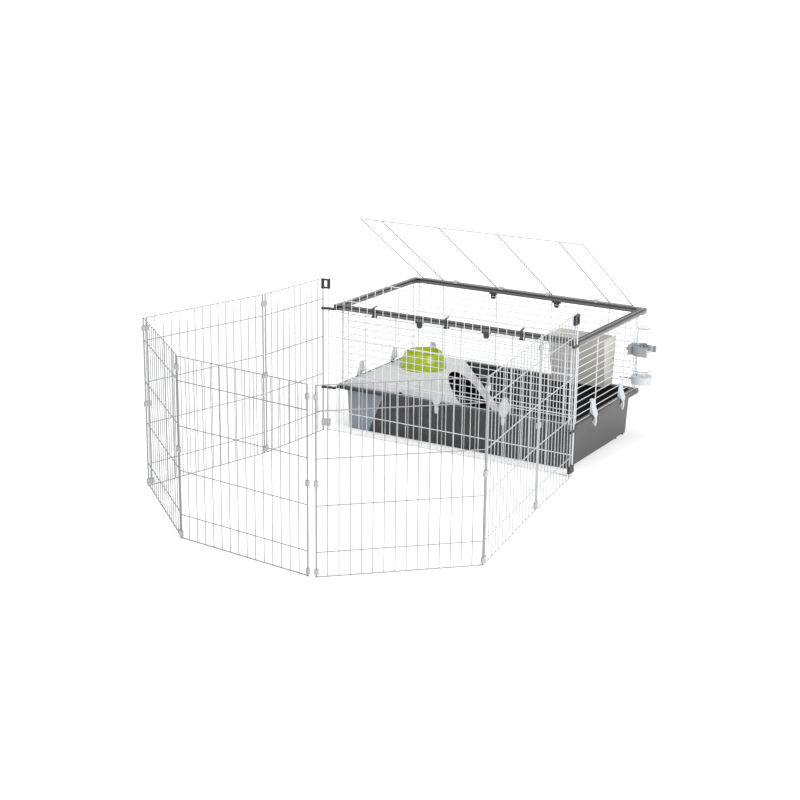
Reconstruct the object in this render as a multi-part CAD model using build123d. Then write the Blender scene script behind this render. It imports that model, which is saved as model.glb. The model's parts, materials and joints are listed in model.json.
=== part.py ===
from build123d import *
import os
from math import cos, sin, tan, radians, acos, atan2, degrees

# Small pet cage: a deep plastic tray, white wire walls, a dark top frame with a hinged wire roof,
# a shelf with a ramp, a bowl, a hay rack and a bottle, and a ring of hinged wire panels in front.
# Millimetres, +Z up. The origin is the centre of the tray's flat underside, +Y runs to the back.

# Overall cage
cage_length = 1000.0
cage_depth = 600.0
cage_height = 480.0

# Tray
rim_height = 172.0
rim_inset = 8.0
flange_overhang = 24.0
flange_thickness = 4.0
lip_drop = 9.0
lip_thickness = 3.0
tray_wall = 3.0
tray_draft = 3.4
tray_corner_radius = 24.0
flange_corner_radius = 20.0
tray_foot_radius = 9.0
notch_width = 60.0
notch_height = 8.0
notch_depth = 12.0

# Top frame
rail_width = 28.0
rail_height = 18.0
rail_round = 6.0
rail_groove_width = 7.0
rail_groove_depth = 3.0
rail_slot_width = 7.0
rail_slot_depth = 9.0
corner_reach = 46.0

# Wire walls
wall_inset = 22.0
wall_wire = 2.6
wall_post = 3.8
wall_pitch = 25.0
weld_sink = 0.5
front_posts = (-443.0, -238.0, -33.0, 33.0, 238.0, 443.0)
back_posts = (-355.0, -118.0, 118.0, 355.0)
side_posts = (-98.0, 146.0)
end_post_inset = 12.0
seat_gap = 0.3

# Fixed clips that hold the walls in the top frame
tab_width = 34.0
tab_bar = 8.0
tab_stem = 20.0
tab_drop = 25.0
tab_thickness = 6.0
tab_spots = (-136.0, 136.0)

# Swinging clips that hold the walls to the tray
clip_width = 34.0
clip_foot_width = 12.0
clip_above = 58.0
clip_below = 34.0
clip_thickness = 7.0
clip_gap = 0.8
clip_pin_radius = 2.0
clip_pin_gap = 0.3
ear_width = 5.0
ear_drop = 11.0
front_clips = (-55.0, 216.0)
back_clips = (300.0, -400.0)
side_clips = (-122.0, 122.0)

# Roof
roof_end_gap = 50.0
roof_wire = 4.0
roof_fine_wire = 2.2
roof_pitch = 22.0
roof_rib_spacing = 238.0
roof_overlap = 8.0
roof_open_angle = 33.0
hinge_inset = 20.0
knuckle_width = 16.0
knuckle_wall = 3.0
knuckle_gap = 0.5
knuckle_spots = (-300.0, -100.0, 100.0, 300.0)

# Roof latches
latch_spots = (-318.0, -17.0, 284.0)
latch_width = 8.0
latch_thickness = 3.0
latch_open_angle = 16.0
latch_hook = 30.0
latch_gap = 1.2

# Shelf
shelf_thickness = 3.0
shelf_length = 242.0
shelf_rest = 4.0
ramp_angle = 47.0
ramp_toe = 26.0
shelf_side_gap = 4.0
door_width = 165.0
door_offset = 117.0
door_top_drop = 20.0

# Bowl
bowl_base_radius = 92.0
bowl_top_radius = 70.0
bowl_height = 62.0
bowl_wall = 3.5
bowl_well_depth = 44.0
bowl_inset = 131.4
bowl_y = 104.0

# Hay rack
rack_width = 232.0
rack_height = 186.0
rack_depth = 110.0
rack_bottom_depth = 70.0
rack_wall = 2.6
rack_end_gap = 202.0
rack_rim_gap = 6.0
rack_taper = 8.0
rack_standoff = 3.4
hook_width = 14.0

# Drinking bottle
bottle_radius = 35.0
bottle_y = 190.0
bottle_standoff = 12.0
bottle_rim_gap = 78.0
bottle_body_length = 182.0
bottle_neck_radius = 20.0
bottle_wall = 2.0
cap_radius = 38.0
cap_skirt = 14.0
spout_radius = 4.0
spout_reach = 34.0
ball_radius = 2.9
spout_lip = 0.8
ring_height = 34.0
ring_wall = 4.0
ring_gap = 0.4
ring_rim_gap = 176.0

# Pen
pen_height = 585.0
pen_pitch = 33.5
pen_gaps = 15
pen_end_gaps = 10
pen_wire = 2.6
pen_rod = 3.2
pen_post = 5.0
pen_short_row = 78.0
pen_joint_gap = 14.0
pen_standoff = 22.0
pen_step_left = 20.0
pen_step_right = 22.0
pen_bearings = (266.2, 256.3, 320.6, 354.9)
pen_right_bearing = 276.8
connector_length = 27.0
connector_height = 17.0
connector_thickness = 10.0
connector_gap = 0.7
connector_foot = 8.0
connector_middle = 280.0
connector_top_gap = 28.0
link_thickness = 8.0
link_height = 8.0
link_reach = 24.0
link_loop = 36.0
link_loop_wall = 6.0
link_foot = 18.0
link_foot_height = 26.0

# Worked out from the sizes above
half_l = cage_length / 2
half_d = cage_depth / 2
rim_x = half_l - rim_inset
rim_y = half_d - rim_inset
wall_top_x = rim_x - flange_overhang
wall_top_y = rim_y - flange_overhang
foot_x = wall_top_x - rim_height * tan(radians(tray_draft))
foot_y = wall_top_y - rim_height * tan(radians(tray_draft))
grille_x = half_l - wall_inset
grille_y = half_d - wall_inset
rail_bottom = cage_height - rail_height
grille_low = rim_height + wall_wire / 2
grille_high = rail_bottom + rail_slot_depth - wall_post / 2
grille_rows = int((grille_high - grille_low) / wall_pitch) + 1
wall_middle = wall_inset - (wall_post - weld_sink) / 2
roof_width = cage_length - 2 * roof_end_gap
shelf_left = -grille_x + wall_wire + shelf_rest
bowl_x = shelf_left + bowl_inset
rack_x = grille_x - rack_end_gap
rack_bottom = rim_height + rack_rim_gap
bottle_bottom = rim_height + bottle_rim_gap
ring_middle = rim_height + ring_rim_gap
pen_y = -half_d - pen_standoff
pen_wide_gaps = round(cage_length / pen_pitch)
connector_levels = (connector_foot, connector_middle, pen_height - connector_top_gap - connector_height)
clip_pivot_z = rim_height - flange_thickness - lip_drop - clip_pin_radius
hinge_y = half_d - hinge_inset
hinge_z = cage_height + knuckle_wall + roof_wire / 2
roof_depth = hinge_y + half_d - rail_width + roof_overlap


def wire(start, end, diameter):
    """One straight wire with eight flat sides."""
    run = Vector(*end) - Vector(*start)
    plane = Plane(origin=start, z_dir=run)
    return extrude(plane * RegularPolygon(diameter / 2, 8, major_radius=False, rotation=22.5), run.length)


def round_bar(start, end, diameter):
    run = Vector(*end) - Vector(*start)
    return extrude(Plane(origin=start, z_dir=run) * Circle(diameter / 2), run.length)


def block(low, high):
    size = [b - a for a, b in zip(low, high)]
    middle = [(a + b) / 2 for a, b in zip(low, high)]
    return Pos(*middle) * Box(*size)


def weld(wires):
    return wires[0].fuse(*wires[1:])


def save(name, *solids):
    shape = solids[0] if len(solids) == 1 else Compound(children=list(solids))
    export_step(shape, f"parts/{name}.step")


def rim_sketch(x, y, radius):
    return RectangleRounded(2 * x, 2 * y, radius)


def quarter_turn(side):
    """Places a piece made for the front on another side of the cage."""
    return {"front": 0, "right": 90, "back": 180, "left": 270}[side]


def reach(side):
    return half_d if side in ("front", "back") else half_l


def tray():
    outer = extrude(rim_sketch(foot_x, foot_y, tray_corner_radius - 8), rim_height, taper=-tray_draft)
    outer = fillet(outer.faces().sort_by(Axis.Z)[0].edges(), tray_foot_radius)
    flange = Pos(0, 0, rim_height - flange_thickness) * extrude(
        rim_sketch(rim_x, rim_y, flange_corner_radius), flange_thickness)
    lip = Pos(0, 0, rim_height - flange_thickness - lip_drop) * extrude(
        rim_sketch(rim_x, rim_y, flange_corner_radius)
        - rim_sketch(rim_x - lip_thickness, rim_y - lip_thickness, flange_corner_radius - lip_thickness),
        lip_drop)
    inner = Pos(0, 0, tray_wall) * extrude(
        rim_sketch(foot_x - tray_wall, foot_y - tray_wall, tray_corner_radius - 11),
        rim_height, taper=-tray_draft)
    inner = fillet(inner.faces().sort_by(Axis.Z)[0].edges(), tray_foot_radius - tray_wall)
    body = outer + flange + lip - inner
    for side in (-1, 1):
        body -= Pos(side * foot_x, foot_y - notch_width, 0) * Box(
            2 * notch_depth, notch_width, 2 * notch_height)
        body += block((min(side * foot_x, side * (foot_x - notch_depth - tray_wall)),
                       foot_y - 1.5 * notch_width - tray_wall, 0.5),
                      (max(side * foot_x, side * (foot_x - notch_depth - tray_wall)),
                       foot_y - 0.5 * notch_width + tray_wall, notch_height + tray_wall)) - Pos(
            side * foot_x, foot_y - notch_width, 0) * Box(2 * notch_depth, notch_width, 2 * notch_height)
    ears = [ear for side, spots in clip_places() for spot in spots for ear in clip_ears(side, spot)]
    return body.fuse(*ears)


def clip_places():
    return (("front", front_clips), ("back", back_clips), ("left", side_clips), ("right", side_clips))


def clip_point(side):
    """How far out a clip's pin lies on one side."""
    return reach(side) - rim_inset - lip_thickness - clip_pin_radius - 1.2


def place(side, along, piece):
    """Turns a piece made at the front, with X along the wall, to its side and place."""
    sign = -1 if side in ("back", "left") else 1
    return Rot(0, 0, quarter_turn(side)) * Pos(sign * along, 0, 0) * piece


def clip_ears(side, spot):
    """Two ears under the flange that carry a clip's pin."""
    out = clip_point(side)
    ears = []
    for hand in (-1, 1):
        x = hand * (clip_foot_width / 2 + ear_width / 2 + 0.6)
        top = rim_height - flange_thickness
        ear = Pos(x, -out, top - (ear_drop + 4) / 2) * Box(ear_width, 9, ear_drop + 4)
        bore = Pos(x, -out, clip_pivot_z) * Rot(0, 90, 0) * Cylinder(
            clip_pin_radius + clip_pin_gap, 2 * ear_width)
        ears.append(place(side, spot, ear - bore))
    return ears


def clip(side, spot):
    """A horn-shaped clip: a pin below, a broad top and a finger over the second wire."""
    out = clip_point(side)
    grille = reach(side) - wall_inset
    face = grille + wall_wire / 2 + clip_gap
    hook_row = grille_low + 2 * wall_pitch
    top = hook_row + wall_wire / 2 + clip_gap + 3.5
    lip_face = reach(side) - rim_inset + clip_gap
    profile = Polyline(
        (-out + 3.2, clip_pivot_z - 3.2), (-lip_face - 3, rim_height - clip_below - 6),
        (-lip_face - 6, rim_height - clip_below + 8), (-lip_face - 4.5, rim_height),
        (-face - clip_thickness, rim_height + clip_above * 0.5), (-face - 4.5, top),
        (-grille + 4, top), (-grille + 4, top - 3.5), (-face, top - 3.5),
        (-face, rim_height + 12), (-lip_face, rim_height + clip_gap + 2.5),
        (-lip_face, clip_pivot_z + lip_drop - 9.5), (-out + 3.2, clip_pivot_z + 3.2), close=True)
    solid = Pos(-clip_width / 2, 0, 0) * extrude(
        Plane.YZ * make_face(profile), clip_width)
    outline = Polyline(
        (-clip_foot_width / 2, rim_height - clip_below - 8),
        (clip_foot_width / 2, rim_height - clip_below - 8),
        (clip_foot_width / 2, clip_pivot_z + 5), (clip_width / 2, rim_height + 4),
        (clip_width / 2, rim_height + 30), (clip_width / 2 - 8, top + 1), (-clip_width / 2 + 8, top + 1),
        (-clip_width / 2, rim_height + 30), (-clip_width / 2, rim_height + 4),
        (-clip_foot_width / 2, clip_pivot_z + 5), close=True)
    cutter = Pos(0, -reach(side) + 60, 0) * extrude(Plane.XZ * make_face(outline), 120)
    solid = solid & cutter
    pin = Pos(0, -out, clip_pivot_z) * Rot(0, 90, 0) * Cylinder(
        clip_pin_radius, clip_foot_width + 2 * ear_width + 1)
    return place(side, spot, solid + pin)


def rail_section():
    """The rail's section, seen from its end: rounded top, a groove above and a slot below."""
    section = Pos(0, rail_height / 2) * RectangleRounded(rail_width, rail_height, rail_round)
    section -= Pos(0, rail_height) * Rectangle(rail_groove_width, 2 * rail_groove_depth)
    return section - Pos(wall_middle - rail_width / 2, 0) * Rectangle(rail_slot_width, 2 * rail_slot_depth)


def rail(side):
    span = (cage_length if side in ("front", "back") else cage_depth) - 2 * corner_reach
    bar = Pos(-span / 2, -reach(side) + rail_width / 2, rail_bottom) * extrude(
        Plane.YZ * rail_section(), span)
    return Rot(0, 0, quarter_turn(side)) * bar


def rail_corner(side_x, side_y):
    """An elbow that joins two rails, rounded outside."""
    plan = Rectangle(corner_reach, corner_reach, align=(Align.MIN, Align.MIN))
    plan -= Pos(rail_width, rail_width) * Rectangle(
        corner_reach, corner_reach, align=(Align.MIN, Align.MIN))
    elbow = extrude(plan, rail_height)
    elbow = fillet(elbow.edges().filter_by(Axis.Z).sort_by(
        lambda e: e.center().X + e.center().Y)[0], rail_round + 4)
    elbow = fillet(elbow.faces().sort_by(Axis.Z)[-1].edges().filter_by(
        lambda e: min(e.center().X, e.center().Y) < rail_width
        and max(e.center().X, e.center().Y) < corner_reach - 0.5), 3.0)
    groove = Pos(rail_width / 2 + corner_reach, rail_width / 2 + corner_reach, rail_height) * (
        Box(2 * corner_reach + rail_groove_width, 2 * corner_reach + rail_groove_width,
            2 * rail_groove_depth)
        - Box(2 * corner_reach - rail_groove_width, 2 * corner_reach - rail_groove_width,
              4 * rail_groove_depth))
    trough = block((wall_middle - rail_slot_width / 2, wall_middle - rail_slot_width / 2, -1),
                   (corner_reach + 1, corner_reach + 1, rail_slot_depth))
    trough -= block((wall_middle + rail_slot_width / 2, wall_middle + rail_slot_width / 2, -2),
                    (corner_reach + 2, corner_reach + 2, rail_slot_depth + 1))
    elbow = elbow - groove - trough
    turn = {(-1, -1): 0, (1, -1): 90, (1, 1): 180, (-1, 1): 270}[(side_x, side_y)]
    return Pos(side_x * half_l, side_y * half_d, rail_bottom) * Rot(0, 0, turn) * elbow


def wall(side):
    """One welded wire wall, horizontals inside and posts outside."""
    across = grille_y if side in ("left", "right") else grille_x
    out = grille_x if side in ("left", "right") else grille_y
    gap = 2 * wall_wire if side in ("left", "right") else 0
    end = across - gap
    spots = {"front": front_posts, "back": back_posts}.get(side, side_posts)
    ends = (-end + end_post_inset, end - end_post_inset)
    post_y = -out - (wall_wire + wall_post) / 2 + weld_sink
    turn = -1 if side in ("back", "left") else 1
    wires = [wire((-end, -out, z), (end, -out, z), wall_wire)
             for z in [grille_low + wall_pitch * i for i in range(grille_rows)] + [grille_high]]
    foot = grille_low - wall_wire / 2
    head = rail_bottom + rail_slot_depth
    wires += [wire((turn * x, post_y, foot), (turn * x, post_y, head), wall_post)
              for x in sorted(set(spots) | set(ends))]
    return Rot(0, 0, quarter_turn(side)) * weld(wires)


def rail_tab(side, spot):
    """A fixed T-shaped tab under the rail that backs the wall from outside."""
    out = reach(side) - wall_inset + wall_wire / 2 + wall_post - weld_sink + seat_gap
    top = rail_bottom
    bar = block((-tab_width / 2, -out - tab_thickness, top - tab_bar), (tab_width / 2, -out, top))
    stem = block((-tab_stem / 2, -out - tab_thickness, top - tab_drop), (tab_stem / 2, -out, top))
    stem = chamfer(stem.edges().filter_by(Axis.Y).sort_by(Axis.Z)[:2], 4)
    return place(side, spot, bar + stem)


def roof_point(along, up=0.0):
    """A point of the open roof, by its distance from the hinge."""
    a = radians(roof_open_angle)
    return (hinge_y - along * cos(a) + up * sin(a), hinge_z + along * sin(a) + up * cos(a))


def roof():
    ribs = [-roof_width / 2, roof_width / 2] + [roof_rib_spacing * (i - 1.5) for i in range(4)]
    lift = (roof_wire + roof_fine_wire) / 2 - weld_sink
    wires = [round_bar((-roof_width / 2 - roof_wire / 2, *roof_point(0)),
                       (roof_width / 2 + roof_wire / 2, *roof_point(0)), roof_wire)]
    wires += [wire((x, *roof_point(0)), (x, *roof_point(roof_depth)), roof_wire) for x in ribs]
    wires += [wire((-roof_width / 2 - roof_wire / 2, *roof_point(roof_depth)),
                   (roof_width / 2 + roof_wire / 2, *roof_point(roof_depth)), roof_wire)]
    rows = int((roof_depth - 20) / roof_pitch)
    wires += [wire((-roof_width / 2, *roof_point(12 + roof_pitch * i, lift)),
                   (roof_width / 2, *roof_point(12 + roof_pitch * i, lift)), roof_fine_wire)
              for i in range(rows + 1)]
    return weld(wires)


def roof_knuckle(x):
    """A saddle on the back rail that holds the roof's hinge wire."""
    half = roof_wire / 2 + knuckle_gap
    low = cage_height
    body = block((x - knuckle_width / 2, hinge_y - half - knuckle_wall, low),
                 (x + knuckle_width / 2, hinge_y + half + knuckle_wall, hinge_z + half + knuckle_wall))
    body = fillet(body.edges().filter_by(Axis.X).sort_by(Axis.Z)[2:], 2.0)
    hole = block((x - knuckle_width, hinge_y - half, hinge_z - half),
                 (x + knuckle_width, hinge_y + half, hinge_z + half))
    return body - hole


def latch_pivot():
    return -half_d - latch_gap - latch_thickness / 2 - 1.5, rail_bottom - 4


def latch(x):
    """A sprung hook on the front rail, shown swung open."""
    y, z = latch_pivot()
    top = hinge_z + roof_wire / 2 + latch_gap / 2 + latch_thickness
    half = latch_thickness / 2
    line = Polyline((y - half, z - 4), (y + half, z - 4), (y + half, top - latch_thickness),
                    (y + latch_hook, top - latch_thickness), (y + latch_hook, top), (y - half, top),
                    close=True)
    strip = Pos(x - latch_width / 2, 0, 0) * extrude(Plane.YZ * make_face(line), latch_width)
    strip = fillet(strip.edges().filter_by(Axis.X).sort_by(lambda e: e.center().Y - e.center().Z)[0], 2.0)
    strip += Pos(x, y, z) * Rot(0, 90, 0) * Cylinder(1.5, latch_width + 7)
    hinge = Axis((x, y, z), (1, 0, 0))
    return strip.rotate(hinge, latch_open_angle)


def latch_bracket(x):
    """Two small ears on the front rail that carry a latch's pin."""
    y, z = latch_pivot()
    ears = []
    for hand in (-1, 1):
        middle = x + hand * (latch_width / 2 + 2.1)
        ear = block((middle - 1.5, y - 3.5, z - 3.5), (middle + 1.5, -half_d + rail_round + 3, rail_bottom))
        ear -= Pos(middle, y, z) * Rot(0, 90, 0) * Cylinder(1.5 + clip_pin_gap, 10)
        ears.append(ear)
    return ears


def shelf():
    """A plateau on the tray's flange, a ramp down to the floor and an arched way under it."""
    left = shelf_left
    edge = left + shelf_length
    top = rim_height + shelf_thickness
    toe_top = tray_wall + shelf_thickness + 0.3
    drop = top - toe_top
    run = drop / tan(radians(ramp_angle))
    side = wall_top_y + shelf_rest
    half = radians(ramp_angle / 2)
    t = shelf_thickness
    line = Polyline((left, top - t), (left, top), (edge, top), (edge + run, toe_top),
                    (edge + run + ramp_toe, toe_top), (edge + run + ramp_toe, toe_top - t),
                    (edge + run - t * tan(half), toe_top - t), (edge - t * tan(half), top - t), close=True)
    sheet = Pos(0, side, 0) * extrude(Plane.XZ * make_face(line), 2 * side)
    inset = rim_height * tan(radians(tray_draft)) + tray_wall + shelf_rest + shelf_side_gap
    for hand in (-1, 1):
        sheet -= block((edge - 6, min(hand * (side - inset), hand * (side + 5)), 0),
                       (half_l, max(hand * (side - inset), hand * (side + 5)), top - 0.01 + 2))
    radius = door_width / 2
    apex = top - door_top_drop
    shape = Pos(door_offset, (apex - radius) / 2) * Rectangle(door_width, apex - radius)
    shape += Pos(door_offset, apex - radius) * Circle(radius)
    return sheet - Pos(edge, 0, toe_top + 6) * extrude(Plane.YZ * shape, 2 * half_l)


def bowl():
    w = bowl_wall
    base = bowl_base_radius
    top = bowl_top_radius
    well = bowl_height - bowl_well_depth
    profile = Polyline(
        (0, 0), (base, 0), (base, 8), (base - 7, bowl_height * 0.55), (top + 3, bowl_height - 3),
        (top, bowl_height), (top - w, bowl_height - 1), (top - 12, well + 10), (top - 25, well),
        (0, well), close=True)
    body = revolve(Plane.XZ * make_face(profile), Axis.Z)
    hollow = Polyline(
        (0, -1), (base - w, -1), (base - w, 6), (base - 7 - w, bowl_height * 0.5),
        (top + 2.4, bowl_height - 9), (top - 1.5, bowl_height - 9), (top - 12 + w, well + 9),
        (top - 25 + w * 0.6, well - w), (0, well - w), close=True)
    body -= revolve(Plane.XZ * make_face(hollow), Axis.Z)
    return Pos(bowl_x, bowl_y, rim_height + shelf_thickness) * body


def hay_rack():
    """An open-topped rack with a leaning front, hung on the back wall's wires."""
    back = grille_y - wall_wire / 2 - rack_standoff
    x0, x1 = rack_x - rack_width / 2, rack_x + rack_width / 2
    top = rack_bottom + rack_height

    def shell(inset, low, high):
        low_x = rack_taper + inset
        front = back - rack_bottom_depth + inset
        lower = Polyline((x0 + low_x, front, low), (x1 - low_x, front, low),
                         (x1 - low_x, back - inset, low), (x0 + low_x, back - inset, low), close=True)
        front = back - rack_depth + inset
        upper = Polyline((x0 + inset, front, high), (x1 - inset, front, high),
                         (x1 - inset, back - inset, high), (x0 + inset, back - inset, high), close=True)
        return loft([make_face(lower), make_face(upper)], ruled=True)

    body = shell(0, rack_bottom, top) - shell(rack_wall, rack_bottom + rack_wall, top + 1)
    row = grille_low + wall_pitch * int((top - 12 - grille_low) / wall_pitch)
    for hand in (-1, 1):
        x = rack_x + hand * rack_width * 0.3
        over = row + wall_wire / 2 + seat_gap
        tip = grille_y + wall_wire / 2 + seat_gap + 3
        hook = block((x - hook_width / 2, back - 0.5, over), (x + hook_width / 2, tip, over + 3))
        hook += block((x - hook_width / 2, tip - 3, row - 6), (x + hook_width / 2, tip, over + 3))
        hook += block((x - hook_width / 2, back - 0.5, row - 12),
                      (x + hook_width / 2, back + rack_standoff - seat_gap, over + 3))
        body += hook
    return body


def bottle_axis():
    return half_l + bottle_standoff + bottle_radius - 12


def bottle():
    x = bottle_axis()
    r = bottle_radius
    n = bottle_neck_radius
    h = bottle_body_length
    w = bottle_wall
    outer = Polyline((0, 0), (n, 0), (n, 10), (r, 22), (r, h * 0.45), (r - 2, h * 0.47), (r - 2, h * 0.53),
                     (r, h * 0.55), (r, h - 12), (r - 10, h), (0, h), close=True)
    inner = Polyline((0, -1), (n - w, -1), (n - w, 10), (r - w, 23), (r - w, h * 0.44),
                     (r - 2 - w, h * 0.465), (r - 2 - w, h * 0.535), (r - w, h * 0.56), (r - w, h - 13),
                     (r - 11, h - w), (0, h - w), close=True)
    body = revolve(Plane.XZ * make_face(outer), Axis.Z) - revolve(Plane.XZ * make_face(inner), Axis.Z)
    return Pos(x, bottle_y, bottle_bottom) * body


def spout_level():
    rows = int((bottle_bottom - cap_skirt - spout_radius - grille_low) / wall_pitch)
    return grille_low + wall_pitch * (rows + 0.5)


def bottle_cap():
    x = bottle_axis()
    low = spout_level() - cap_skirt
    base = extrude(RegularPolygon(cap_radius, 24), bottle_bottom - low - 0.01)
    cap = Pos(x, bottle_y, low) * base
    cap -= Pos(x, bottle_y, spout_level()) * Rot(0, -90, 0) * extrude(
        Circle(spout_radius - 1.5), 2 * cap_radius)
    boss = Pos(x - cap_radius + 6, bottle_y, spout_level()) * Rot(0, -90, 0) * extrude(
        Circle(spout_radius + 2) - Circle(spout_radius), 12)
    cut = Pos(x - cap_radius + 6, bottle_y, spout_level()) * Rot(0, -90, 0) * extrude(
        Circle(spout_radius), 20)
    return cap - cut + boss


def bottle_spout():
    x = bottle_axis() - cap_radius + 6
    tube = extrude(Circle(spout_radius) - Circle(spout_radius - 1), spout_reach + 20)
    lip = Pos(0, 0, spout_reach + 20 - spout_lip) * extrude(
        Circle(spout_radius - 0.5) - Circle(ball_radius - 0.6), spout_lip)
    return Pos(x, bottle_y, spout_level()) * Rot(0, -90, 0) * (tube + lip)


def spout_ball():
    seat = (ball_radius ** 2 - (ball_radius - 0.6) ** 2) ** 0.5 + 0.15
    x = bottle_axis() - cap_radius + 6 - spout_reach - 20 + spout_lip + seat
    return Pos(x, bottle_y, spout_level()) * Sphere(ball_radius)


def bottle_holder():
    """A half ring round the bottle and a plate that clips on the right wall."""
    x = bottle_axis()
    low = ring_middle - ring_height / 2
    inner = bottle_radius + ring_gap
    ring = extrude(Circle(inner + ring_wall) - Circle(inner), ring_height)
    ring -= Pos(bottle_radius, 0, 0) * Box(2 * bottle_radius, 4 * bottle_radius, 3 * ring_height)
    ring = Pos(x, bottle_y, low) * ring
    plate_x = half_l - wall_inset + wall_wire / 2 + wall_post + 0.6
    top = low + ring_height
    plate = block((plate_x, bottle_y - 22, low), (x - inner - 0.4, bottle_y + 22, top))
    tail = block((x - 0.5, bottle_y + inner, low + 5), (x + 36, bottle_y + inner + ring_wall, top - 5))
    nose = block((x - 0.5, bottle_y - inner - ring_wall, low), (x + 30, bottle_y - inner, top))
    body = ring + plate + tail + nose
    row = grille_low + wall_pitch * round((low - grille_low) / wall_pitch + 0.5)
    grille = half_l - wall_inset
    hook = block((grille - wall_wire / 2 - 3.5, bottle_y - 10, row + wall_wire / 2 + seat_gap),
                 (plate_x + 0.5, bottle_y + 10, row + wall_wire / 2 + seat_gap + 3))
    hook += block((grille - wall_wire / 2 - 3.5, bottle_y - 10, row - 6),
                  (grille - wall_wire / 2 - seat_gap, bottle_y + 10, row + wall_wire / 2 + seat_gap + 3))
    return body + hook


def heading(bearing):
    return Vector(cos(radians(bearing)), sin(radians(bearing)), 0)


def pen_rows():
    middle = (pen_height - 2 * pen_short_row) / 3
    low = pen_rod / 2
    high = pen_height - pen_rod / 2
    return [low, pen_short_row, pen_short_row + middle, pen_short_row + 2 * middle,
            pen_height - pen_short_row, high]


def pen_panel(start, bearing, gaps):
    """A welded panel from its first post, wires at even pitch and six rods across."""
    width = gaps * pen_pitch
    off = (pen_wire + pen_rod) / 2 - weld_sink
    wires = [round_bar((x, 0, 0), (x, 0, pen_height), pen_post) for x in (0, width)]
    wires += [wire((pen_pitch * i, 0, 0.4), (pen_pitch * i, 0, pen_height - 0.4), pen_wire)
              for i in range(1, gaps)]
    wires += [wire((0, off, z), (width, off, z), pen_rod) for z in pen_rows()]
    return Pos(*start) * Rot(0, 0, bearing) * weld(wires)


def pen_plan():
    """Start point and bearing of every hinged panel, left chain then right chain."""
    step = pen_joint_gap
    half_wide = pen_wide_gaps * pen_pitch / 2
    widths = [pen_end_gaps * pen_pitch] + [pen_gaps * pen_pitch] * 3
    left = []
    at = Vector(-half_wide - pen_step_left, pen_y - 8, 0)
    for width, bearing in zip(widths, pen_bearings):
        left.append((at, bearing))
        at = at + heading(bearing) * (width + step)
    closing = at
    start = Vector(half_wide, pen_y - pen_step_right, 0)
    right = [(start, pen_right_bearing)]
    knee = start + heading(pen_right_bearing) * (pen_end_gaps * pen_pitch + step)
    arm = pen_gaps * pen_pitch + step
    gap = closing - knee
    lean = degrees(acos(min(1.0, gap.length / (2 * arm))))
    toward = degrees(atan2(gap.Y, gap.X))
    first = toward + lean
    elbow = knee + heading(first) * arm
    last = degrees(atan2(closing.Y - elbow.Y, closing.X - elbow.X))
    right += [(knee, first), (elbow, last)]
    return left, right


def post_bore(x, low, high):
    """The space for a pen post in a connector or link."""
    return round_bar((x, 0, low - 1), (x, 0, high + 1), pen_post + 2 * connector_gap)


def connector(post, bearing, low):
    """A small block that joins two posts, fast on the first and turning on the second."""
    half = (connector_length - pen_joint_gap) / 2
    thick = connector_thickness / 2
    high = low + connector_height
    body = block((-half, -thick, low), (pen_joint_gap + half, thick, high))
    body = chamfer(body.edges().filter_by(Axis.Z), 2.0)
    for x in (0, pen_joint_gap):
        body -= post_bore(x, low, high)
    return Pos(*post) * Rot(0, 0, bearing) * body


def connector_group(start, bearing, gaps):
    end = start + heading(bearing) * (gaps * pen_pitch)
    return [connector(end, bearing, low) for low in connector_levels]


def end_block(post, bearing, low):
    """Half a connector on a chain's last post, where the ring is left open."""
    half = (connector_length - pen_joint_gap) / 2
    nose = pen_joint_gap / 2 - connector_gap
    thick = connector_thickness / 2
    high = low + connector_height
    body = block((-half, -thick, low), (nose, thick, high))
    body = chamfer(body.edges().filter_by(Axis.Z), 2.0) - post_bore(0, low, high)
    return Pos(*post) * Rot(0, 0, bearing) * body


def cage_link(post, partner, level, height, back_to=None):
    """A bracket from the fixed panel's post to the first hinged post, and back to the cage if asked."""
    run = partner - post
    bearing = degrees(atan2(run.Y, run.X))
    half = link_thickness / 2 + 1
    bar = block((-6, -half, level), (run.length + 6, half, level + height))
    for x in (0, run.length):
        bar -= post_bore(x, level, level + height)
    if height == link_loop:
        bar -= block((link_loop_wall - 1, -2 * half, level + link_loop_wall),
                     (run.length - link_loop_wall + 1, 2 * half, level + height - link_loop_wall))
    body = Pos(*post) * Rot(0, 0, bearing) * bar
    if back_to is None:
        return body
    side = -1 if post.X < 0 else 1
    arm_x = post.X - side * link_reach
    near = post.X - side * (pen_post / 2 + connector_gap)
    body += block((arm_x - 4, post.Y - 4, level), (arm_x + 4, back_to, level + height))
    first, last = min(arm_x, near), max(arm_x, near)
    return body + block((first, post.Y - 4, level), (last, post.Y + 4, level + height))


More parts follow.
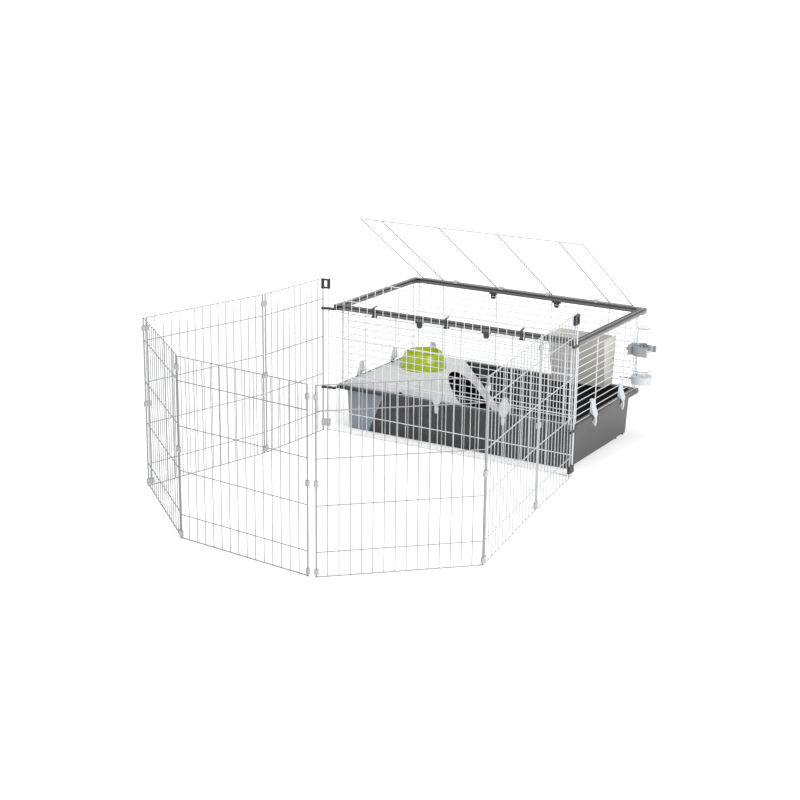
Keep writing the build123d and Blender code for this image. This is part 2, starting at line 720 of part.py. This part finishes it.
def build():
    os.makedirs("parts", exist_ok=True)
    save("tray", tray())
    for side in ("front", "back", "left", "right"):
        save(f"{side}_rail", rail(side))
        save(f"{side}_wall", wall(side))
    save("rail_corners", *[rail_corner(x, y) for x in (-1, 1) for y in (-1, 1)])
    save("rail_tabs", *[rail_tab(side, spot) for side in ("front", "back") for spot in tab_spots])
    for side, spots in clip_places():
        for name, spot in zip(("a", "b"), spots):
            save(f"{side}_clip_{name}", clip(side, spot))
    save("roof", roof())
    save("roof_knuckles", *[roof_knuckle(x) for x in knuckle_spots])
    for name, x in zip(("left", "middle", "right"), latch_spots):
        save(f"roof_latch_{name}", latch(x))
    save("latch_brackets", *[ear for x in latch_spots for ear in latch_bracket(x)])
    save("shelf", shelf())
    save("bowl", bowl())
    save("hay_rack", hay_rack())
    save("bottle", bottle())
    save("bottle_cap", bottle_cap())
    save("bottle_spout", bottle_spout())
    save("spout_ball", spout_ball())
    save("bottle_holder", bottle_holder())

    left, right = pen_plan()
    half_wide = pen_wide_gaps * pen_pitch / 2
    save("pen_front_panel", pen_panel(Vector(-half_wide, pen_y, 0), 0, pen_wide_gaps))
    gaps = [pen_end_gaps] + [pen_gaps] * 3
    for i, ((at, bearing), count) in enumerate(zip(left, gaps), 1):
        save(f"pen_left_panel_{i}", pen_panel(at, bearing, count))
        if i < len(left):
            save(f"pen_left_connectors_{i}", *connector_group(at, bearing, count))
    for i, ((at, bearing), count) in enumerate(zip(right, gaps), 1):
        save(f"pen_right_panel_{i}", pen_panel(at, bearing, count))
        if i < len(right):
            save(f"pen_right_connectors_{i}", *connector_group(at, bearing, count))
    ends = ((-1, left[0][0], "left"), (1, right[0][0], "right"))
    for at, bearing, name in ((*left[-1], "left"), (*right[-1], "right")):
        post = at + heading(bearing) * (pen_gaps * pen_pitch)
        save(f"pen_end_blocks_{name}", *[end_block(post, bearing, low) for low in connector_levels])
    for side, partner, name in ends:
        post = Vector(side * half_wide, pen_y, 0)
        top = pen_height - pen_rod - 1 - link_loop
        links = [cage_link(post, partner, top, link_loop),
                 cage_link(post, partner, rail_bottom + 4, link_height, -half_d - seat_gap),
                 cage_link(post, partner, rim_height - link_height, link_height, -rim_y - seat_gap)]
        save(f"cage_links_{name}", *links)
        save(f"cage_foot_link_{name}", cage_link(post, partner, link_foot, link_foot_height))
    for (at, bearing), name in zip(left + right, ("L1", "L2", "L3", "L4", "R1", "R2", "R3")):
        print("hinge", name, round(at.X, 3), round(at.Y, 3), "bearing", round(bearing, 2))
    print("roof hinge", hinge_y, hinge_z, "roof depth", roof_depth, "latch pivot", latch_pivot())
    print("clip pivots", {side: round(clip_point(side), 3) for side, _ in clip_places()}, clip_pivot_z)
    print("spout level", spout_level(), "bottle axis", bottle_axis())


build()
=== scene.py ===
import json
from math import atan2, cos, degrees, pi, radians, sin
import bpy
from mathutils import Matrix, Vector


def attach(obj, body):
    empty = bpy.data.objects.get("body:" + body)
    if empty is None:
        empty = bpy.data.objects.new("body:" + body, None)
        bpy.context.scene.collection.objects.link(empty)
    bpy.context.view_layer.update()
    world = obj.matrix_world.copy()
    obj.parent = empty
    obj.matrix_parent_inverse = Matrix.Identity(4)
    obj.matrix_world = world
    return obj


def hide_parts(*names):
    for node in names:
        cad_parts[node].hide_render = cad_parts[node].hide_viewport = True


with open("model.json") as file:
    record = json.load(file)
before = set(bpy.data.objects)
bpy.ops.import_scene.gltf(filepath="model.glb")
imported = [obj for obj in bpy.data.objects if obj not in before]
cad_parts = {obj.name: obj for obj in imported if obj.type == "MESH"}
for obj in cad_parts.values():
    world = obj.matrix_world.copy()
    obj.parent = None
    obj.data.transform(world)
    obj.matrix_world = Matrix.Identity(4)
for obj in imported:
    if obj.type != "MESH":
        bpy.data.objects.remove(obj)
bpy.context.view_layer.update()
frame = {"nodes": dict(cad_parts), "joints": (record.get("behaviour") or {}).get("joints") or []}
nodes = frame["nodes"]
joints = {joint["name"]: joint for joint in frame["joints"]}
mm = 0.001
print("frame loaded:", len(nodes), "CAD nodes")


class Signal:  # a socket that takes part in plain arithmetic
    def __init__(self, paint, socket):
        self.paint = paint
        self.socket = socket

    def reckon(self, operation, left, right):
        return self.paint.node("ShaderNodeMath", {"operation": operation}, {0: left, 1: right})

    def __add__(self, other):
        return self.reckon("ADD", self, other)

    def __radd__(self, other):
        return self.reckon("ADD", other, self)

    def __sub__(self, other):
        return self.reckon("SUBTRACT", self, other)

    def __rsub__(self, other):
        return self.reckon("SUBTRACT", other, self)

    def __mul__(self, other):
        return self.reckon("MULTIPLY", self, other)

    def __rmul__(self, other):
        return self.reckon("MULTIPLY", other, self)

    def __truediv__(self, other):
        return self.reckon("DIVIDE", self, other)

    def __rtruediv__(self, other):
        return self.reckon("DIVIDE", other, self)

    def __gt__(self, other):
        return self.reckon("GREATER_THAN", self, other)

    def __lt__(self, other):
        return self.reckon("LESS_THAN", self, other)

    def __abs__(self):
        return self.paint.node("ShaderNodeMath", {"operation": "ABSOLUTE"}, {0: self})

    def least(self, other):
        return self.reckon("MINIMUM", self, other)

    def most(self, other):
        return self.reckon("MAXIMUM", self, other)


class Paint:  # the node tree of a material or of the world
    def __init__(self, owner, shader="Principled BSDF"):
        owner.use_nodes = True
        self.owner = owner
        self.tree = owner.node_tree
        self.shader = self.tree.nodes[shader]

    def node(self, kind, settings=None, inputs=None, output=0):
        made = self.tree.nodes.new(kind)
        for key, value in (settings or {}).items():
            setattr(made, key, value)
        for key, value in (inputs or {}).items():
            self.feed(made.inputs[key], value)
        if isinstance(output, tuple):
            return [Signal(self, made.outputs[key]) for key in output]
        return Signal(self, made.outputs[output])

    def feed(self, socket, value):
        if isinstance(value, Signal):
            self.tree.links.new(value.socket, socket)
        else:
            socket.default_value = value

    def surface(self, **values):  # underscores stand for the spaces in a socket's name
        for key, value in values.items():
            self.feed(self.shader.inputs[key.replace("_", " ")], value)

    def place(self):
        return self.node("ShaderNodeTexCoord", output="Object")

    def axes(self):
        return self.node("ShaderNodeSeparateXYZ", {}, {0: self.place()}, ("X", "Y", "Z"))

    def noise(self, scale, detail, stretch=(1, 1, 1)):
        where = self.node("ShaderNodeMapping", {}, {"Vector": self.place(), "Scale": stretch})
        return self.node("ShaderNodeTexNoise", {}, {"Vector": where, "Scale": scale, "Detail": detail})

    def soft(self, value, low, high):  # 0 below low, 1 above high
        return self.node("ShaderNodeMapRange", {"interpolation_type": "SMOOTHSTEP"},
                         {"Value": value, "From Min": low, "From Max": high})

    def tint(self, amount, first, second):  # 6 and 7 are the mix node's colour inputs
        return self.node("ShaderNodeMix", {"data_type": "RGBA"}, {0: amount, 6: first, 7: second}, 2)

    def drift(self, amount, colour, spread):
        return self.tint(amount, shade(colour, 1 - spread), shade(colour, 1 + spread))

    def relief(self, height, strength, distance):
        return self.node("ShaderNodeBump", {}, {"Height": height, "Strength": strength, "Distance": distance})


def newPaint(name):
    return Paint(bpy.data.materials.new(name))


def shade(colour, factor=1.0):
    return tuple(min(1.0, part * factor) for part in colour) + (1,)


# Mouldings
mouldings = {"cloudDetail": 3, "grainDetail": 2, "scuffDetail": 4, "scuffStretch": (1, 1, 0.25),
             "scuffFrom": 0.6, "scuffTo": 0.74, "wornShade": 1.5, "grainRough": 0.12, "scuffRough": 0.1,
             "bumpDepth": 0.0004}
plasticIor = 1.49
plastics = {
    "frame": {"colour": (0.040, 0.041, 0.043), "rough": 0.38, "spread": 0.10, "cloudScale": 9,
              "grainScale": 900, "scuffScale": 30, "scuff": 0.25, "bump": 0.10},
    "clip": {"colour": (0.64, 0.66, 0.68), "rough": 0.42, "spread": 0.03, "cloudScale": 14,
             "grainScale": 1100, "scuffScale": 60, "scuff": 0.10, "bump": 0.08},
    "shelf": {"colour": (0.60, 0.61, 0.62), "rough": 0.45, "spread": 0.03, "cloudScale": 5,
              "grainScale": 800, "scuffScale": 18, "scuff": 0.12, "bump": 0.10},
    "connector": {"colour": (0.47, 0.48, 0.49), "rough": 0.45, "spread": 0.05, "cloudScale": 22,
                  "grainScale": 1200, "scuffScale": 70, "scuff": 0.10, "bump": 0.08},
    "link": {"colour": (0.016, 0.016, 0.018), "rough": 0.36, "spread": 0.15, "cloudScale": 20,
             "grainScale": 1000, "scuffScale": 60, "scuff": 0.35, "bump": 0.10},
    "bowl": {"colour": (0.34, 0.44, 0.004), "rough": 0.28, "spread": 0.06, "cloudScale": 12,
             "grainScale": 700, "scuffScale": 26, "scuff": 0.06, "bump": 0.05},
    "rack": {"colour": (0.72, 0.70, 0.66), "rough": 0.46, "spread": 0.04, "cloudScale": 8,
             "grainScale": 800, "scuffScale": 24, "scuff": 0.10, "bump": 0.10},
    "holder": {"colour": (0.40, 0.41, 0.42), "rough": 0.40, "spread": 0.05, "cloudScale": 18,
               "grainScale": 1000, "scuffScale": 50, "scuff": 0.12, "bump": 0.08},
}


def wornPlastic(paint, look):  # sets grain and gloss, and gives back the clouds and the worn colour
    cloud = paint.noise(look["cloudScale"], look["cloudDetail"])
    grain = paint.noise(look["grainScale"], look["grainDetail"])
    marks = paint.noise(look["scuffScale"], look["scuffDetail"], look["scuffStretch"])
    scuff = paint.soft(marks, look["scuffFrom"], look["scuffTo"])
    base = paint.drift(cloud, look["colour"], look["spread"])
    worn = paint.tint(scuff * look["scuff"], base, shade(look["colour"], look["wornShade"]))
    paint.surface(Roughness=look["rough"] + (grain - 0.5) * look["grainRough"] + scuff * look["scuffRough"],
                  Normal=paint.relief(grain, look["bump"], look["bumpDepth"]))
    return cloud, worn


def plasticFinish(name, look):
    paint = newPaint(name)
    cloud, worn = wornPlastic(paint, look)
    paint.surface(Base_Color=worn, IOR=plasticIor)
    return paint


paints = {}
for key, look in plastics.items():
    paints[key] = plasticFinish(key + "Plastic", {**mouldings, **look})

# the pale keys set a painted reflection on the tray's front left corner: its colour, spread and slanted edges
trayLook = {**mouldings, "colour": (0.034, 0.035, 0.037), "rough": 0.24, "spread": 0.12, "cloudScale": 4,
            "grainScale": 700, "scuffScale": 16, "scuffStretch": (1, 1, 0.3), "scuffFrom": 0.62,
            "scuffTo": 0.78, "scuff": 0.14, "wornShade": 1.9, "grainRough": 0.1, "scuffRough": 0.12,
            "bump": 0.05,
            "paintedReflection": (0.29, 0.335, 0.385), "reflectionSpread": 0.08, "reflectionTop": -0.292, "reflectionBottom": -0.366,
            "reflectionBack": -0.2, "height": 0.160, "slantBlend": 0.004, "backBlend": 0.01, "topBlend": 0.002}


def trayFinish(look):  # dark gloss with a painted reflection, a pale blue-grey zone, at the front left corner
    paint = newPaint("trayPlastic")
    cloud, worn = wornPlastic(paint, look)
    x, y, z = paint.axes()
    # mask of the painted reflection: left of a slanted edge, at the front, below the rim
    edge = look["reflectionBottom"] + (look["reflectionTop"] - look["reflectionBottom"]) * z / look["height"]
    reflectionZone = paint.soft(edge - x, 0, look["slantBlend"])
    reflectionZone = reflectionZone * paint.soft(look["reflectionBack"] - y, 0, look["backBlend"])
    reflectionZone = reflectionZone * paint.soft(look["height"] - z, 0, look["topBlend"])
    # pale blue-grey colour of the painted reflection
    paintedReflection = paint.drift(cloud, look["paintedReflection"], look["reflectionSpread"])
    paint.surface(Base_Color=paint.tint(reflectionZone, worn, paintedReflection))
    return paint


paints["tray"] = trayFinish(trayLook)

# the groove colour is a painted highlight along the top groove
railLook = {"face": (0.150, 0.152, 0.157), "crest": (0.018, 0.018, 0.020), "groove": (0.50, 0.51, 0.52),
            "spread": 0.12, "halfLength": 0.5, "halfDepth": 0.3, "crestLevel": 0.4735, "crestBlend": 0.0006,
            "crestWidth": 0.0095, "grooveEnd": 0.0175, "cloudScale": 9, "cloudDetail": 3, "grainScale": 900,
            "grainDetail": 2, "rough": 0.26, "grainRough": 0.12, "bump": 0.08, "bumpDepth": 0.0004}


def railFinish(look):  # grey face, dark rounded crest and a painted highlight, a pale line in the groove on top
    paint = newPaint("railPlastic")
    cloud = paint.noise(look["cloudScale"], look["cloudDetail"])
    grain = paint.noise(look["grainScale"], look["grainDetail"])
    x, y, z = paint.axes()
    inset = (look["halfLength"] - abs(x)).least(look["halfDepth"] - abs(y))
    top = paint.soft(z, look["crestLevel"] - look["crestBlend"], look["crestLevel"] + look["crestBlend"])
    # mask of the painted highlight: a pale line in the top groove
    groove = top * (inset > look["crestWidth"]) * (inset < look["grooveEnd"])
    face = paint.drift(cloud, look["face"], look["spread"])
    dark = paint.tint(top, face, shade(look["crest"]))
    paint.surface(Base_Color=paint.tint(groove, dark, shade(look["groove"])),
                  Roughness=look["rough"] + (grain - 0.5) * look["grainRough"],
                  Normal=paint.relief(grain, look["bump"], look["bumpDepth"]))
    return paint


paints["rail"] = railFinish(railLook)

# Wires
wireLook = {"runScale": 35, "runDetail": 2, "beadScale": 420, "beadDetail": 2, "beadRough": 0.16,
            "chipScale": 90, "chipDetail": 5, "chipFrom": 0.72, "chipTo": 0.78, "chips": 0.35,
            "chipShade": 0.6, "bump": 0.12, "bumpDepth": 0.0003}
# the pen's right panels use a lighter copy of the pen wire: a painted highlight
wireTones = {
    "wallWire": {"colour": (0.80, 0.81, 0.83), "rough": 0.30, "spread": 0.03},
    "penWire": {"colour": (0.31, 0.315, 0.325), "rough": 0.34, "spread": 0.05},
    "paintedHighlightWire": {"colour": (0.50, 0.51, 0.53), "rough": 0.34, "spread": 0.05},
    "roofWire": {"colour": (0.52, 0.52, 0.53), "rough": 0.30, "spread": 0.03},
}


def wireFinish(name, look):  # dipped coating, a little uneven along the wire
    paint = newPaint(name)
    run = paint.noise(look["runScale"], look["runDetail"])
    beads = paint.noise(look["beadScale"], look["beadDetail"])
    chips = paint.soft(paint.noise(look["chipScale"], look["chipDetail"]), look["chipFrom"], look["chipTo"])
    base = paint.drift(run, look["colour"], look["spread"])
    colour = paint.tint(chips * look["chips"], base, shade(look["colour"], look["chipShade"]))
    paint.surface(Base_Color=colour, Roughness=look["rough"] + (beads - 0.5) * look["beadRough"],
                  Normal=paint.relief(beads, look["bump"], look["bumpDepth"]))
    return paint


for key, tone in wireTones.items():
    paints[key] = wireFinish(key, {**wireLook, **tone})

# Clear bottle and steel spout
bottleLook = {"clear": (0.97, 0.98, 0.99, 1), "hazy": (0.90, 0.93, 0.95, 1), "hazeScale": 30, "hazeDetail": 4,
              "hazeFrom": 0.4, "hazeTo": 0.75, "rough": 0.03, "hazeRough": 0.10, "ior": 1.3,
              "dentScale": 60, "dentDetail": 2, "bump": 0.06, "bumpDepth": 0.0006}
steelLook = {"dull": (0.62, 0.63, 0.64, 1), "bright": (0.78, 0.78, 0.79, 1), "brushScale": 600,
             "brushDetail": 2, "brushStretch": (1, 8, 8), "rough": 0.16, "brushRough": 0.18,
             "bump": 0.06, "bumpDepth": 0.0002}


def bottleFinish(look):
    paint = newPaint("clearBottle")
    haze = paint.soft(paint.noise(look["hazeScale"], look["hazeDetail"]), look["hazeFrom"], look["hazeTo"])
    dents = paint.noise(look["dentScale"], look["dentDetail"])
    paint.surface(Base_Color=paint.tint(haze, look["clear"], look["hazy"]),
                  Roughness=look["rough"] + haze * look["hazeRough"],
                  Normal=paint.relief(dents, look["bump"], look["bumpDepth"]),
                  Transmission_Weight=1.0, IOR=look["ior"])
    return paint


def steelFinish(look):
    paint = newPaint("brightSteel")
    brushed = paint.noise(look["brushScale"], look["brushDetail"], look["brushStretch"])
    paint.surface(Base_Color=paint.tint(brushed, look["dull"], look["bright"]),
                  Roughness=look["rough"] + brushed * look["brushRough"],
                  Normal=paint.relief(brushed, look["bump"], look["bumpDepth"]), Metallic=1.0)
    return paint


paints["bottle"] = bottleFinish(bottleLook)
paints["steel"] = steelFinish(steelLook)
print("finishes made:", len(paints))

# The first word found in a node's name says its finish
finishWords = (("tray", "tray"), ("_rail", "rail"), ("rail_corners", "rail"), ("rail_tabs", "frame"),
               ("latch", "frame"), ("_clip_", "clip"), ("roof_knuckles", "clip"), ("bottle_cap", "clip"),
               ("shelf", "shelf"), ("bowl", "bowl"), ("hay_rack", "rack"), ("bottle_holder", "holder"),
               ("spout", "steel"), ("bottle", "bottle"), ("connectors", "connector"),
               ("pen_end_blocks", "connector"), ("cage_foot_link_left", "connector"),
               ("cage_foot_link_right", "link"), ("cage_links", "link"))
for name, part in nodes.items():
    finish = next((value for word, value in finishWords if word in name), None)
    if finish:
        for slot in part.material_slots:
            slot.material = paints[finish].owner
print("CAD pieces finished")


def piece(name, weave, finish, body, replaced):
    mesh = bpy.data.meshes.new(name)
    mesh.from_pydata(weave.verts, [], weave.faces)
    mesh.validate()
    mesh.polygons.foreach_set("use_smooth", [True] * len(mesh.polygons))
    mesh.materials.append(paints[finish].owner)
    made = bpy.data.objects.new(name, mesh)
    bpy.context.scene.collection.objects.link(made)
    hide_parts(replaced)
    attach(made, body)


wireSides = 12
wireEnd = ((0, 0.62), (0.3, 0.92), (0.8, 1))  # how far from the end and how wide, as shares of the radius
beadShape = ((-0.7, 0.35), (-0.45, 0.8), (0, 1), (0.45, 0.8), (0.7, 0.35))


class Weave:  # collects round wires and the welds where they cross
    def __init__(self):
        self.verts = []
        self.faces = []

    def turned(self, start, axis, rings):  # rings of a given radius, strung along an axis
        side = axis.orthogonal().normalized()
        other = axis.cross(side)
        first = len(self.verts)
        for along, radius in rings:
            centre = start + axis * along
            for i in range(wireSides):
                angle = 2 * pi * i / wireSides
                self.verts.append(centre + (side * cos(angle) + other * sin(angle)) * radius)
        for row in range(len(rings) - 1):
            for i in range(wireSides):
                low = first + row * wireSides + i
                right = first + row * wireSides + (i + 1) % wireSides
                self.faces.append((low, right, right + wireSides, low + wireSides))
        last = first + (len(rings) - 1) * wireSides
        self.faces.append(tuple(first + i for i in reversed(range(wireSides))))
        self.faces.append(tuple(last + i for i in range(wireSides)))

    def wire(self, start, end, diameter):
        radius = diameter / 2
        length = (end - start).length
        rings = [(radius * back, radius * wide) for back, wide in wireEnd]
        rings += [(length - radius * back, radius * wide) for back, wide in reversed(wireEnd)]
        self.turned(start, (end - start).normalized(), rings)

    def weld(self, centre, out, size):  # a low flattened bead
        self.turned(centre, out.normalized(), [(size * lift, size * wide) for lift, wide in beadShape])


# Wire walls
wall = {"wire": 2.6 * mm, "post": 3.8 * mm, "pitch": 25 * mm, "inset": 22 * mm, "sink": 0.5 * mm,
        "halfLength": 500 * mm, "halfDepth": 300 * mm, "low": 173.3 * mm, "high": 469.1 * mm, "rows": 12,
        "bottom": 172 * mm, "top": 471 * mm, "endInset": 12 * mm, "weld": 1.5 * mm,
        "front": (-443, -238, -33, 33, 238, 443), "back": (-355, -118, 118, 355), "side": (-98, 146)}
sideTurns = {"front": 0, "right": 90, "back": 180, "left": 270}


def buildWall(side, s):
    narrow = side in ("left", "right")
    half = (s["halfDepth"] if narrow else s["halfLength"]) - s["inset"] - (2 * s["wire"] if narrow else 0)
    out = (s["halfLength"] if narrow else s["halfDepth"]) - s["inset"]
    flip = -1 if side in ("back", "left") else 1
    spin = Matrix.Rotation(radians(sideTurns[side]), 4, "Z")
    outward = spin @ Vector((0, -1, 0))
    places = [x * mm for x in s.get(side, s["side"])] + [-half + s["endInset"], half - s["endInset"]]
    levels = [s["low"] + s["pitch"] * i for i in range(s["rows"])] + [s["high"]]
    postY = -out - (s["wire"] + s["post"]) / 2 + s["sink"]
    weave = Weave()
    for z in levels:
        weave.wire(spin @ Vector((-half, -out, z)), spin @ Vector((half, -out, z)), s["wire"])
    for x in places:
        foot = spin @ Vector((flip * x, postY, s["bottom"]))
        head = spin @ Vector((flip * x, postY, s["top"]))
        weave.wire(foot, head, s["post"])
        for z in levels:
            weave.weld(spin @ Vector((flip * x, -out - s["wire"] / 2, z)), outward, s["weld"])
    piece(side + "WallWires", weave, "wallWire", "cage", side + "_wall")


for side in ("front", "back", "left", "right"):
    buildWall(side, wall)
print("walls woven")

# Roof
roof = {"width": 900 * mm, "depth": 560 * mm, "wire": 4 * mm, "fine": 2.2 * mm, "pitch": 22 * mm,
        "innerRibs": 4, "ribSpacing": 238 * mm, "first": 12 * mm, "margin": 20 * mm, "sink": 0.5 * mm,
        "angle": 33, "weld": 1.5 * mm}


def buildRoof(s):
    hinge = Vector(joints["roof_hinge"]["pos_m"])
    lean = radians(s["angle"])
    along = Vector((0, -cos(lean), sin(lean)))
    up = Vector((0, sin(lean), cos(lean)))
    lift = (s["wire"] + s["fine"]) / 2 - s["sink"]
    half = s["width"] / 2
    end = half + s["wire"] / 2

    def spot(x, run, rise=0.0):
        return Vector((x, hinge.y, hinge.z)) + along * run + up * rise

    weave = Weave()
    for run in (0, s["depth"]):
        weave.wire(spot(-end, run), spot(end, run), s["wire"])
    ribs = [-half, half] + [s["ribSpacing"] * (i - (s["innerRibs"] - 1) / 2) for i in range(s["innerRibs"])]
    for x in ribs:
        weave.wire(spot(x, 0), spot(x, s["depth"]), s["wire"])
    for i in range(int((s["depth"] - s["margin"]) / s["pitch"]) + 1):
        run = s["first"] + s["pitch"] * i
        weave.wire(spot(-half, run, lift), spot(half, run, lift), s["fine"])
        for x in ribs:
            weave.weld(spot(x, run, (s["wire"] - s["sink"]) / 2), up, s["weld"])
    piece("roofWires", weave, "roofWire", "roof", "roof")


buildRoof(roof)
print("roof woven")

# Pen
pen = {"height": 585 * mm, "pitch": 33.5 * mm, "wire": 2.6 * mm, "rod": 3.2 * mm, "post": 5 * mm,
       "short": 78 * mm, "rods": 4, "gaps": 15, "endGaps": 10, "wideGaps": 30, "step": 14 * mm,
       "wideY": -322 * mm, "lastBearing": 354.9, "sink": 0.5 * mm, "weld": 1.7 * mm, "inset": 0.4 * mm,
       "paintedHighlightPanels": ("pen_right_1", "pen_right_2")}


def buildPanel(name, node, body, start, bearing, gaps, s, finish):
    spin = Matrix.Translation(start) @ Matrix.Rotation(radians(bearing), 4, "Z")
    outward = spin.to_3x3() @ Vector((0, 1, 0))
    width = gaps * s["pitch"]
    rodY = (s["wire"] + s["rod"]) / 2 - s["sink"]
    spacing = (s["height"] - 2 * s["short"]) / (s["rods"] - 1)
    levels = [s["short"] + spacing * i for i in range(s["rods"])]
    levels = [s["rod"] / 2] + levels + [s["height"] - s["rod"] / 2]
    weave = Weave()
    for i in range(gaps + 1):
        x = s["pitch"] * i
        outer = i in (0, gaps)
        low = 0 if outer else s["inset"]
        thick = s["post"] if outer else s["wire"]
        weave.wire(spin @ Vector((x, 0, low)), spin @ Vector((x, 0, s["height"] - low)), thick)
        for z in levels:
            if s["weld"] < z < s["height"] - s["weld"]:
                weave.weld(spin @ Vector((x, s["wire"] / 2, z)), outward, s["weld"])
    for z in levels:
        weave.wire(spin @ Vector((0, rodY, z)), spin @ Vector((width, rodY, z)), s["rod"])
    piece(name, weave, finish, body, node)


def hingeFoot(name):
    x, y = joints[name]["pos_m"][:2]
    return Vector((x, y, 0))


def buildPen(s):
    halfWide = s["wideGaps"] * s["pitch"] / 2
    buildPanel("penFrontWires", "pen_front_panel", "cage", Vector((-halfWide, s["wideY"], 0)), 0,
               s["wideGaps"], s, "wallWire")
    left = [hingeFoot(f"pen_left_{i}_hinge") for i in range(1, 5)]
    right = [hingeFoot(f"pen_right_{i}_hinge") for i in range(1, 4)]
    heading = radians(s["lastBearing"])
    reach = s["gaps"] * s["pitch"] + s["step"]
    closing = left[-1] + Vector((cos(heading), sin(heading), 0)) * reach  # where the ring's open joint is
    for side, starts in (("left", left), ("right", right)):
        for i, (start, end) in enumerate(zip(starts, starts[1:] + [closing]), 1):
            body = f"pen_{side}_{i}"
            bearing = degrees(atan2(end.y - start.y, end.x - start.x))
            gaps = s["endGaps"] if i == 1 else s["gaps"]
            # the right panels' wires are painted lighter than the other pen wires, a painted highlight
            finish = "paintedHighlightWire" if body in s["paintedHighlightPanels"] else "penWire"
            buildPanel(f"pen{side.title()}Wires{i}", f"pen_{side}_panel_{i}", body, start, bearing,
                       gaps, s, finish)


buildPen(pen)
print("pen woven")

# Floor, backdrop, light and camera
studio = {"floorSize": 60, "floorColour": (0.86, 0.86, 0.86, 1), "floorRough": 0.9, "nearGlow": 0.30,
          "farGlow": 1.0, "glowStart": 1.6, "glowEnd": 3.2, "fill": 0.48, "target": Vector((0, -0.5, 0.2)),
          "black": (0, 0, 0, 1), "white": (1, 1, 1, 1),
          "lamps": (("keyLamp", (4.4, -1.9, 3.2), 2.6, 185), ("topLamp", (-0.6, -0.8, 5.0), 4.0, 120),
                    ("leftLamp", (-4.5, -3.5, 2.6), 2.4, 30))}


def seenDirectly(paint):  # 1 where the camera looks, also by reflection or through the bottle
    camera, glossy, through = paint.node(
        "ShaderNodeLightPath", output=("Is Camera Ray", "Is Glossy Ray", "Is Transmission Ray"))
    return camera.most(glossy).most(through)


def buildFloor(s):
    half = s["floorSize"] / 2
    mesh = bpy.data.meshes.new("floor")
    corners = [(-half, -half, 0), (half, -half, 0), (half, half, 0), (-half, half, 0)]
    mesh.from_pydata(corners, [], [(0, 1, 2, 3)])
    floor = bpy.data.objects.new("floor", mesh)
    bpy.context.scene.collection.objects.link(floor)
    paint = newPaint("paleFloor")
    away = paint.node("ShaderNodeVectorMath", {"operation": "LENGTH"}, {0: paint.place()}, "Value")
    reach = paint.soft(away, s["glowStart"], s["glowEnd"])
    glow = seenDirectly(paint) * (s["nearGlow"] + (s["farGlow"] - s["nearGlow"]) * reach)
    paint.surface(Base_Color=s["floorColour"], Roughness=s["floorRough"], Specular_IOR_Level=0.0,
                  Emission_Color=paint.tint(glow, s["black"], s["white"]), Emission_Strength=1.0)
    mesh.materials.append(paint.owner)


def buildWorld(s):  # softer light on the cage than the white that the camera sees
    world = bpy.data.worlds.new("studioWorld")
    bpy.context.scene.world = world
    sky = Paint(world, "Background")
    sky.surface(Color=s["white"], Strength=s["fill"] + (1 - s["fill"]) * seenDirectly(sky))


def buildLamps(s):
    for name, where, size, power in s["lamps"]:
        light = bpy.data.lights.new(name, "AREA")
        light.shape = "DISK"
        light.size = size
        light.energy = power
        lamp = bpy.data.objects.new(name, light)
        bpy.context.scene.collection.objects.link(lamp)
        lamp.location = where
        lamp.rotation_euler = (s["target"] - Vector(where)).to_track_quat("-Z", "Y").to_euler()
        lamp.visible_camera = False


camera = {"place": Vector((2.719, -5.229, 1.840)), "yaw": 30.68, "pitch": 16.34, "roll": 0.66, "lens": 73.35,
          "sensor": 36, "farthest": 100}


def buildCamera(s):
    yaw, pitch, roll = (radians(s[key]) for key in ("yaw", "pitch", "roll"))
    ahead = Vector((-sin(yaw) * cos(pitch), cos(yaw) * cos(pitch), -sin(pitch)))
    level = Vector((cos(yaw), sin(yaw), 0))
    up = level.cross(ahead)
    across = level * cos(roll) + up * sin(roll)
    above = up * cos(roll) - level * sin(roll)
    turn = Matrix((across, above, -ahead)).transposed()
    lens = bpy.data.cameras.new("photoCamera")
    lens.lens = s["lens"]
    lens.sensor_width = s["sensor"]
    lens.clip_end = s["farthest"]
    view = bpy.data.objects.new("photoCamera", lens)
    bpy.context.scene.collection.objects.link(view)
    view.matrix_world = Matrix.Translation(s["place"]) @ turn.to_4x4()
    bpy.context.scene.camera = view


buildFloor(studio)
buildWorld(studio)
buildLamps(studio)
buildCamera(camera)
bpy.context.scene.view_settings.view_transform = "Standard"
print("studio ready")
